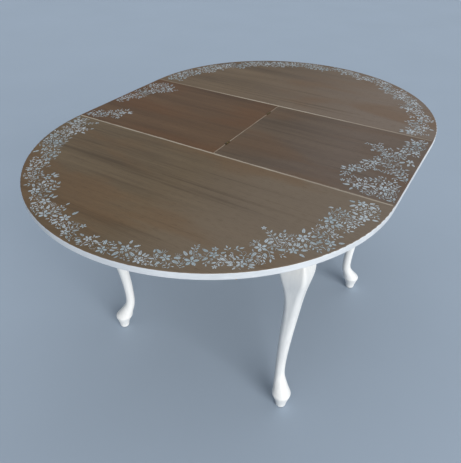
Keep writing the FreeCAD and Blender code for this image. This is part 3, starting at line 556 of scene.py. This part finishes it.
class Stencil:
    """The painted shapes of one board, kept apart by a grid of taken cells."""

    def __init__(self, seed, low, high, allowed):
        self.chance = random.Random(seed)
        self.low = low
        columns = round((high[0] - low[0]) / CELL)
        rows = round((high[1] - low[1]) / CELL)
        self.xs = low[0] + (np.arange(columns) + 0.5) * CELL
        self.ys = low[1] + (np.arange(rows) + 0.5) * CELL
        self.taken = ~allowed(*np.meshgrid(self.xs, self.ys))
        self.vertices = []
        self.faces = []

    def pick(self, span):
        """A size between the least and the greatest."""
        return self.chance.uniform(*span)

    def any_heading(self):
        return self.chance.uniform(0, ANY_HEADING)

    def any_start(self):
        return self.chance.uniform(0, ANY_START)

    def either_side(self):
        return self.chance.choice((-1, 1))

    def window(self, points):
        """Grid slices round some points with room for the bridge, or None off the board."""
        slices = []
        for axis, count in ((1, len(self.ys)), (0, len(self.xs))):
            values = [point[axis] for point in points]
            first = math.floor((min(values) - self.low[axis]) / CELL) - BRIDGE_CELLS - 1
            last = math.ceil((max(values) - self.low[axis]) / CELL) + BRIDGE_CELLS + 1
            if first < 0 or last > count:
                return None
            slices.append(slice(first, last))
        return tuple(slices)

    def cells_in(self, points, window):
        """The cells of a window whose middles lie in a polygon."""
        grid_x, grid_y = np.meshgrid(self.xs[window[1]], self.ys[window[0]])
        found = np.zeros(grid_x.shape, bool)
        for (x0, y0), (x1, y1) in zip(points, points[1:] + points[:1]):
            if y0 == y1:
                continue
            crossed = (y0 > grid_y) != (y1 > grid_y)
            found ^= crossed & (grid_x < (x1 - x0) * (grid_y - y0) / (y1 - y0) + x0)
        return found

    def is_free(self, point):
        column = math.floor((point[0] - self.low[0]) / CELL)
        row = math.floor((point[1] - self.low[1]) / CELL)
        inside = 0 <= row < len(self.ys) and 0 <= column < len(self.xs)
        return inside and not self.taken[row, column]

    def film(self, points):
        """A thin closed film over a polygon."""
        start = len(self.vertices)
        count = len(points)
        self.vertices += [(x, y, FILM_TOP) for x, y in points]
        self.vertices += [(x, y, FILM_ROOT) for x, y in points]
        top = [start + number for number in range(count)]
        under = [start + count + number for number in range(count)]
        self.faces += [top, under[::-1]]
        for number in range(count):
            following = (number + 1) % count
            self.faces.append([top[number], under[number], under[following], top[following]])

    def ribbon(self, left, right):
        """A thin closed film between two lines of points."""
        start = len(self.vertices)
        for (left_x, left_y), (right_x, right_y) in zip(left, right):
            for height in (FILM_TOP, FILM_ROOT):
                self.vertices += [(left_x, left_y, height), (right_x, right_y, height)]
        stations = len(left)
        for number in range(stations - 1):
            here = start + 4 * number
            then = here + 4
            self.faces.append([here, here + 1, then + 1, then])
            self.faces.append([here + 2, then + 2, then + 3, here + 3])
            self.faces.append([here, then, then + 2, here + 2])
            self.faces.append([here + 1, here + 3, then + 3, then + 1])
        final = start + 4 * (stations - 1)
        self.faces.append([start, start + 2, start + 3, start + 1])
        self.faces.append([final, final + 1, final + 3, final + 2])

    def claim(self, outlines):
        """Take the cells of some polygons if they are all free."""
        found = []
        for points in outlines:
            window = self.window(points)
            if window is None:
                return False
            cells = self.cells_in(points, window)
            if (cells & self.taken[window]).any():
                return False
            found.append((window, cells))
        for window, cells in found:
            self.taken[window] |= spread(cells)
        return True

    def shapes(self, outlines):
        """Paint some polygons if their place is free."""
        if self.claim(outlines):
            for points in outlines:
                self.film(points)

    def stem(self, points, width=STEM_WIDTH):
        """Paint a thin line as far as its way is free, and return the part that was painted."""
        free = 0
        while free < len(points) and self.is_free(points[free]):
            free += 1
        if free < SHORTEST_LINE:
            return []
        points = points[:free]
        left = []
        right = []
        for number in range(0, free, LINE_STEP):
            half = width / 2 * (1 - LINE_TAPER * number / (free - 1))
            heading = heading_at(points, number)
            left.append(beside(points[number], heading, 1, half))
            right.append(beside(points[number], heading, -1, half))
        for number in range(len(left) - 1):
            quad = [right[number], right[number + 1], left[number + 1], left[number]]
            window = self.window(quad)
            if window is not None:
                self.taken[window] |= spread(self.cells_in(quad, window))
        self.ribbon(left, right)
        return points

    def blossom(self, middle, radius, turn):
        """Pointed petals round a dot."""
        outlines = [disc(middle, DOT_RADIUS * radius)]
        for number in range(PETALS):
            heading = turn + 2 * math.pi * number / PETALS
            base = polar(middle, heading, PETAL_START * radius)
            outlines.append(oval(base, heading, PETAL_LENGTH * radius, PETAL_WIDTH * radius, belly=0.5))
        self.shapes(outlines)

    def leaf(self, base, heading, length):
        """A leaf, split along its vein where it is large."""
        outline = oval(base, heading, length, LEAF_WIDTH * length, LEAF_BELLY)
        if length < SPLIT_LENGTH:
            self.shapes([outline])
        elif self.claim([outline]):
            half = len(outline) // 2
            foot, tip = (polar(base, heading, share * length) for share in SPLIT_SPAN)
            right_foot, right_tip = (beside(end, heading, -1, VEIN) for end in (foot, tip))
            left_foot, left_tip = (beside(end, heading, 1, VEIN) for end in (foot, tip))
            self.film([right_foot] + outline[1:half] + [right_tip])
            self.film([left_tip] + outline[half + 1:] + [left_foot])

    def posy(self, middle, radius):
        """A large blossom with leaves round it."""
        self.blossom(middle, radius, self.any_start())
        for _ in range(POSY_LEAVES):
            heading = self.chance.uniform(0, 2 * math.pi)
            self.leaf(polar(middle, heading, radius + POSY_GAP), heading, self.pick(POSY_LEAF))

    def dress(self, points, leaf, spacing):
        """Leaves in pairs along a stem, smaller towards its tip."""
        first = round(0.6 * spacing)
        taper = 0.45
        for number in range(first, len(points) - 2, round(spacing)):
            size = leaf * (1 - taper * number / len(points))
            heading = heading_at(points, number)
            for side in (-1, 1):
                base = beside(points[number], heading, side, LEAF_GAP)
                lean = side * math.radians(self.pick(LEAF_LEAN_DEGREES))
                self.leaf(base, heading + lean, size * self.pick(LEAF_VARIETY))

    def vine(self, points):
        """A strong stem with large leaves."""
        self.dress(self.stem(points, VINE_WIDTH), VINE_LEAF, VINE_LEAF_SPACING)

    def sprig(self, start, heading, length, leaf):
        """A bent stem with paired leaves and, at its tip, a blossom, a leaf or three buds."""
        bend = self.either_side() * self.pick(SPRIG_BEND)
        points = self.stem(curve(start, heading, length, bend))
        if not points:
            return
        self.dress(points, leaf, spacing=0.8 * leaf)
        tip_heading = heading_at(points, len(points) - 1)
        tip = polar(points[-1], tip_heading, LEAF_GAP)
        kind = self.chance.random()
        if kind < BLOSSOM_TIPS:
            radius = self.pick(TIP_BLOSSOM)
            self.blossom(polar(tip, tip_heading, radius), radius, tip_heading + math.pi)
        elif kind < BLOSSOM_TIPS + LEAF_TIPS:
            self.leaf(tip, tip_heading, leaf)
        else:
            for lean in BUD_LEANS:
                bud = oval(tip, tip_heading + lean, length=0.6 * leaf, width=0.2 * leaf, belly=0.55)
                self.shapes([bud])

    def twig(self, start, heading, leaf):
        """A short stalk with a leaf at its tip and a pair beside it."""
        stalk = 0.9 * leaf
        tip_gap = 1.8
        side_lean = 0.85
        side_leaf = 0.85 * leaf
        points = self.stem(curve(start, heading, stalk, bend=self.pick(TWIG_BEND)), STALK_WIDTH)
        if not points:
            return
        tip_heading = heading_at(points, len(points) - 1)
        self.leaf(polar(points[-1], tip_heading, tip_gap), tip_heading, leaf)
        middle = points[len(points) // 2]
        for side in (-1, 1):
            base = beside(middle, tip_heading, side, LEAF_GAP)
            self.leaf(base, tip_heading + side * side_lean, side_leaf)

    def fan(self, root, heading, length):
        """A fern-like fan of thin strokes."""
        strokes = 7
        opening = math.radians(110)
        hollow = 0.35 * length
        stroke = 0.65 * length
        for number in range(strokes):
            lean = opening * (number / (strokes - 1) - 0.5)
            start = polar(root, heading + lean, hollow)
            self.stem(curve(start, heading + lean, stroke, bend=0.3 * lean), STALK_WIDTH)

    def tendril(self, start, heading, size, side):
        """A thin line that curls up more and more, to its left where side is 1."""
        length = 3.2 * size
        first_turn = 0.02
        added_turn = 0.28
        size_of_turns = 8
        points = [start]
        for number in range(round(length)):
            heading += side * (first_turn + added_turn * number / length) * size_of_turns / size
            points.append(polar(points[-1], heading, 1))
        self.stem(points, TENDRIL_WIDTH)

    def fill(self, place, twig_leaf, blossom_share, tendril_share=0):
        """One small shape picked by chance: a twig, a blossom, a tendril or a single leaf."""
        kind = self.chance.random()
        if kind < TWIG_SHARE:
            self.twig(place, self.any_heading(), self.pick(twig_leaf))
        elif kind < TWIG_SHARE + blossom_share:
            self.blossom(place, self.pick(SMALL_BLOSSOM), self.any_start())
        elif kind < TWIG_SHARE + blossom_share + tendril_share:
            self.tendril(place, self.any_heading(), self.pick(SMALL_TENDRIL), self.either_side())
        else:
            self.leaf(place, self.any_heading(), self.pick(SMALL_LEAF))

    def piece(self, body):
        """The finished mesh, riding on the board's body."""
        mesh = bpy.data.meshes.new(f"{body}_stencil")
        mesh.from_pydata([(x * MM, y * MM, TOP + z * MM) for x, y, z in self.vertices], [], self.faces)
        mesh.materials.append(STENCIL_PAINT)
        mesh.validate()
        item = bpy.data.objects.new(f"{body}_stencil", mesh)
        bpy.context.scene.collection.objects.link(item)
        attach(item, body)


# Borders of the ends. Lengths along the rim are measured at one radius, and offsets from the vine are
# inward and grow with the border's width.
BORDER_RADIUS = RIM - 50
BORDER_SPAN = (math.radians(3), math.radians(177))
FIRST_POSY = 12
POSY_SPACING = (34, 62)
POSY_RIM_GAP = 7
INNER_POSY = (15, 24)
OUTER_POSY = (14, 20)
VINE_LENGTH = (45, 85)
VINE_GAP = 4
SPRIG_SPACING = (9, 17)
SPRIG_GAP = 3
SPRIG_LEAN = (-0.9, 0.9)
OUTWARD_SHARE = 0.35
OUTWARD_SPRIG = (16, 34)
OUTWARD_LEAF = 12
INWARD_SPRIG = (22, 58)
INWARD_LEAF = (11, 17)
FANS = 14
FAN_OFFSET = (18, 34)
FAN_LEAN = (-0.7, 0.7)
FAN_LENGTH = (14, 20)
TENDRILS = 40
TENDRIL_OFFSET = (-24, 42)
TENDRIL_SIZE = (6, 10)
FILLING_TRIES = 1500
FILLING_OFFSET = (-34, 42)
RIM_TWIG_LEAF = (7, 12)
TINY_TRIES = 700
TINY_OFFSET = (-34, 30)


class RimBand:
    """Places in the border round one end; side is 1 for the far end and -1 for the near one.

    Its shape lists, by the angle round the rim in degrees, how deep the vine lies and how wide the
    border is.
    """

    def __init__(self, side, shape, phase):
        self.side = side
        self.angles, self.depths, self.widths = zip(*shape)
        self.phase = phase

    def at(self, angle, depth):
        """The place at an angle round the rim and a depth inward of it."""
        x, y = polar((0, 0), angle, RIM - depth)
        return x, self.side * (SEAM + y)

    def inward(self, angle):
        """The heading from the rim to the middle."""
        x, y = polar((0, 0), angle + math.pi, 1)
        return math.atan2(self.side * y, x)

    def width(self, angle):
        return np.interp(math.degrees(angle), self.angles, self.widths)

    def depth(self, angle, offset=0):
        """How deep the waving vine lies, or a place at an offset from it."""
        along = angle * BORDER_RADIUS
        long_wave = 13 * math.sin(along / 27 + self.phase)
        short_wave = 5 * math.sin(along / 12 + 2 * self.phase)
        middle = np.interp(math.degrees(angle), self.angles, self.depths)
        return middle + self.width(angle) * (long_wave + short_wave) + self.width(angle) * offset


def rim_posies(stencil, band):
    """Large blossoms, in turn on the inner and the outer side of the vine."""
    start, end = BORDER_SPAN
    angle = start + FIRST_POSY / BORDER_RADIUS
    inner_side = True
    while angle < end:
        radius = stencil.pick(POSY_RADIUS)
        offset = stencil.pick(INNER_POSY) if inner_side else -stencil.pick(OUTER_POSY)
        depth = max(radius + POSY_RIM_GAP, band.depth(angle, offset))
        stencil.posy(band.at(angle, depth), radius)
        inner_side = not inner_side
        angle += stencil.pick(POSY_SPACING) / BORDER_RADIUS


def rim_vines(stencil, band):
    """Leafy vines, one after another."""
    angle, end = BORDER_SPAN
    while angle < end:
        length = stencil.pick(VINE_LENGTH)
        steps = [angle + number / BORDER_RADIUS for number in range(round(length))]
        stencil.vine([band.at(step, band.depth(step)) for step in steps])
        angle += (length + VINE_GAP) / BORDER_RADIUS


def rim_sprigs(stencil, band):
    """Sprigs that branch off the vines, towards the rim or the middle."""
    angle, end = BORDER_SPAN
    while angle < end:
        depth = band.depth(angle)
        outward = stencil.chance.random() < OUTWARD_SHARE
        lean = stencil.pick(SPRIG_LEAN)
        length = band.width(angle) * stencil.pick(OUTWARD_SPRIG if outward else INWARD_SPRIG)
        if outward:
            start = band.at(angle, depth - SPRIG_GAP)
            stencil.sprig(start, band.inward(angle) + math.pi + lean, length, OUTWARD_LEAF)
        else:
            start = band.at(angle, depth + SPRIG_GAP)
            stencil.sprig(start, band.inward(angle) + lean, length, stencil.pick(INWARD_LEAF))
        angle += stencil.pick(SPRIG_SPACING) / BORDER_RADIUS


def rim_filling(stencil, band):
    """Fans, tendrils and small shapes wherever there is room."""
    for _ in range(FANS):
        angle = stencil.pick(BORDER_SPAN)
        root = band.at(angle, band.depth(angle, stencil.pick(FAN_OFFSET)))
        heading = band.inward(angle) + stencil.pick(FAN_LEAN)
        stencil.fan(root, heading, stencil.pick(FAN_LENGTH))
    for _ in range(TENDRILS):
        angle = stencil.pick(BORDER_SPAN)
        start = band.at(angle, band.depth(angle, stencil.pick(TENDRIL_OFFSET)))
        stencil.tendril(start, stencil.any_heading(), stencil.pick(TENDRIL_SIZE), stencil.either_side())
    for _ in range(FILLING_TRIES):
        angle = stencil.pick(BORDER_SPAN)
        offset = stencil.chance.triangular(*FILLING_OFFSET, 0)
        stencil.fill(band.at(angle, band.depth(angle, offset)), RIM_TWIG_LEAF, blossom_share=0.2)
    for _ in range(TINY_TRIES):
        angle = stencil.pick(BORDER_SPAN)
        offset = stencil.chance.triangular(*TINY_OFFSET, 0)
        base = band.at(angle, band.depth(angle, offset))
        stencil.leaf(base, stencil.any_heading(), stencil.pick(TINY_LEAF))


def end_border(body, seed, side, shape):
    """The border of one end; side and shape are those of its band."""
    def allowed(x, y):
        from_seam = side * y - SEAM
        return (np.hypot(x, from_seam) < RIM - RIM_MARGIN) & (from_seam > END_SEAM_MARGIN)

    near_y = SEAM if side > 0 else -SEAM - RIM
    stencil = Stencil(seed, (-RIM, near_y), (RIM, near_y + RIM), allowed)
    band = RimBand(side, shape, phase=stencil.any_start())
    rim_posies(stencil, band)
    rim_vines(stencil, band)
    rim_sprigs(stencil, band)
    rim_filling(stencil, band)
    stencil.piece(body)


# Sprays on the leaf: how far from the ends of a stem its sprigs begin and stop, and how far from the
# stem the small shapes lie
FIRST_SPRIG = 8
LAST_SPRIG = 4
SPRAY_SPRIG_SPACING = 11
SPRAY_SPRIG = (14, 42)
SPRAY_LEAN = (0.6, 1.2)
SPRAY_LEAF = (10, 16)
SPRAY_TWIG_LEAF = (7, 10)
SPRAY_REACH = 34
USUAL_REACH = 6


def leaf_sprays(body, seed, side, stems, blossoms, filling):
    """Sprays that reach in from the outer end of one half of the leaf; side is 1 for the right half.

    Blossoms have a radius as their third value. Filling is how many small shapes are tried for each
    millimetre of stem.
    """
    def allowed(x, y):
        outward = side * x
        off_seams = np.abs(y) < LEAF_SIDE - LEAF_SEAM_MARGIN
        return (outward < RIM - RIM_MARGIN) & (outward > FOLD_MARGIN) & off_seams

    near_x = 0 if side > 0 else -RIM
    stencil = Stencil(seed, (near_x, -LEAF_SIDE), (near_x + RIM, LEAF_SIDE), allowed)
    lines = [through([(side * x, y) for x, y in points]) for points in stems]
    for x, y, radius in blossoms:
        stencil.posy((side * x, y), radius)
    for line in lines:
        stencil.vine(line)
    for line in lines:
        for number in range(FIRST_SPRIG, len(line) - LAST_SPRIG, SPRAY_SPRIG_SPACING):
            lean = stencil.either_side() * stencil.pick(SPRAY_LEAN)
            heading = heading_at(line, number) + lean
            start = polar(line[number], heading, SPRIG_GAP)
            stencil.sprig(start, heading, stencil.pick(SPRAY_SPRIG), stencil.pick(SPRAY_LEAF))
    for line in lines:
        for _ in range(round(filling * len(line))):
            middle = stencil.chance.choice(line)
            heading = stencil.any_heading()
            place = polar(middle, heading, stencil.chance.triangular(0, SPRAY_REACH, USUAL_REACH))
            stencil.fill(place, SPRAY_TWIG_LEAF, blossom_share=0.15, tendril_share=0.1)
    stencil.piece(body)


end_border("near_end", seed=11, side=-1, shape=(
    (0, 50, 0.8), (20, 56, 1.0), (45, 50, 1.0), (65, 34, 0.65), (80, 26, 0.48),
    (98, 27, 0.52), (112, 34, 0.75), (125, 40, 0.9), (150, 42, 0.9), (180, 40, 0.75),
))
end_border("far_end", seed=23, side=1, shape=(
    (0, 46, 0.8), (35, 46, 0.8), (60, 36, 0.7), (90, 32, 0.6),
    (120, 38, 0.8), (150, 44, 0.9), (180, 40, 0.7),
))
leaf_sprays(
    "leaf_right", seed=37, side=1, filling=1.2,
    stems=(
        ((478, 192), (466, 130), (450, 72), (420, 22), (384, -38), (346, -104)),
        ((424, 30), (398, 60), (374, 90)),
        ((494, -78), (462, -44), (426, -4)),
        ((494, -188), (462, -166), (420, -160), (376, -150)),
        ((476, -160), (456, -126), (430, -100)),
    ),
    blossoms=(
        (462, 158, 15), (474, 96, 12), (442, 88, 11), (394, -18, 13),
        (354, -88, 12), (454, -140, 14), (392, -160, 12), (474, 36, 11),
    ),
)
leaf_sprays(
    "leaf_left", seed=41, side=-1, filling=1.6,
    stems=(
        ((490, -40), (474, 10), (452, 70), (418, 112), (396, 128)),
        ((490, 120), (462, 142), (428, 156)),
        ((490, -186), (462, -170), (430, -140), (398, -122)),
    ),
    blossoms=((402, 136, 13), (398, -120, 13), (446, 84, 11), (448, -160, 11)),
)

# Studio: plain pale floor and backdrop, a soft key light from the right, weaker ones from above and
# behind, and cool light all round
FLOOR = srgb(163, 177, 193)
FLOOR_SHADE = 0.92
FLOOR_REACH = 30.0
FLOOR_GAP = 0.2 * MM
BACKDROP = srgb(168, 182, 197)
SURROUND = (0.80, 0.90, 1.0, 1.0)
SURROUND_STRENGTH = 0.22
LAMP_DISTANCE = 3


def make_floor():
    """A square of floor just below the feet."""
    low, high = -FLOOR_REACH, FLOOR_REACH
    corners = [(low, low, 0), (high, low, 0), (high, high, 0), (low, high, 0)]
    mesh = bpy.data.meshes.new("floor")
    mesh.from_pydata(corners, [], [(0, 1, 2, 3)])
    floor = bpy.data.objects.new("floor", mesh)
    floor.location.z = -FLOOR_GAP
    bpy.context.scene.collection.objects.link(floor)
    finish = Finish("floor")
    finish.shine(DULL_SHINE)
    cloud = finish.noise(even(1.5), detail=4.0)
    shade = tuple(FLOOR_SHADE * value for value in FLOOR[:3]) + (1.0,)
    mesh.materials.append(finish.coat(finish.mix(cloud, shade, FLOOR), roughness=0.85))


def soft_light(name, azimuth, elevation, width, level, colour):
    """An even light from one side, with angles in degrees.

    Azimuth 0 is from -Y and 90 from +X, and width is how wide the light is in the sky.
    """
    lamp = bpy.data.lights.new(name, "SUN")
    lamp.angle = math.radians(width)
    lamp.energy = level * math.pi
    lamp.color = colour
    item = bpy.data.objects.new(name, lamp)
    turn = math.radians(azimuth)
    rise = math.radians(elevation)
    level_part = math.cos(rise)
    source = Vector((math.sin(turn) * level_part, -math.cos(turn) * level_part, math.sin(rise)))
    item.location = LAMP_DISTANCE * source
    item.rotation_euler = source.to_track_quat("Z", "Y").to_euler()
    bpy.context.scene.collection.objects.link(item)


def make_world():
    """Cool light all round, with a pale backdrop where the camera or a reflection sees it."""
    world = bpy.data.worlds.new("studio")
    world.use_nodes = True
    tree = world.node_tree
    surround = tree.nodes["Background"]
    surround.inputs["Color"].default_value = SURROUND
    surround.inputs["Strength"].default_value = SURROUND_STRENGTH
    backdrop = tree.nodes.new("ShaderNodeBackground")
    backdrop.inputs["Color"].default_value = BACKDROP
    ray = tree.nodes.new("ShaderNodeLightPath")
    seen = ray.outputs["Is Camera Ray"]
    for kind in ("Is Glossy Ray", "Is Transmission Ray"):
        either = tree.nodes.new("ShaderNodeMath")
        either.operation = "MAXIMUM"
        tree.links.new(seen, either.inputs[0])
        tree.links.new(ray.outputs[kind], either.inputs[1])
        seen = either.outputs[0]
    choice = tree.nodes.new("ShaderNodeMixShader")
    tree.links.new(seen, choice.inputs[0])
    tree.links.new(surround.outputs[0], choice.inputs[1])
    tree.links.new(backdrop.outputs[0], choice.inputs[2])
    tree.links.new(choice.outputs[0], tree.nodes["World Output"].inputs["Surface"])
    bpy.context.scene.world = world


def make_camera():
    """The photograph's viewpoint, from a perspective fit to the seams, rim and feet."""
    place = (0.64299, -1.19767, 1.35191)
    yaw, pitch, roll = (math.radians(angle) for angle in (30.449, 36.232, 0.806))
    focal_pixels = 477.89
    picture_height = 463
    level_part = math.cos(pitch)
    forward = Vector((-math.sin(yaw) * level_part, math.cos(yaw) * level_part, -math.sin(pitch)))
    right = Vector((math.cos(yaw), math.sin(yaw), 0))
    up = right.cross(forward)
    right_rolled = right * math.cos(roll) + up * math.sin(roll)
    up_rolled = up * math.cos(roll) - right * math.sin(roll)
    turn = Matrix((right_rolled, up_rolled, -forward)).transposed().to_4x4()
    # The picture is taller than wide, so Blender lays the sensor's width along its height
    camera_data = bpy.data.cameras.new("camera")
    camera_data.sensor_width = 36
    camera_data.lens = camera_data.sensor_width * focal_pixels / picture_height
    camera = bpy.data.objects.new("camera", camera_data)
    camera.matrix_world = Matrix.Translation(place) @ turn
    bpy.context.scene.collection.objects.link(camera)
    bpy.context.scene.camera = camera


make_floor()
soft_light("key", azimuth=60, elevation=23, width=44, level=0.91, colour=(1.0, 0.99, 0.97))
soft_light("overhead", azimuth=20, elevation=82, width=80, level=0.28, colour=(0.98, 0.99, 1.0))
soft_light("back_fill", azimuth=160, elevation=30, width=60, level=0.14, colour=(0.92, 0.96, 1.0))
make_world()
make_camera()
bpy.context.scene.view_settings.view_transform = "Standard"
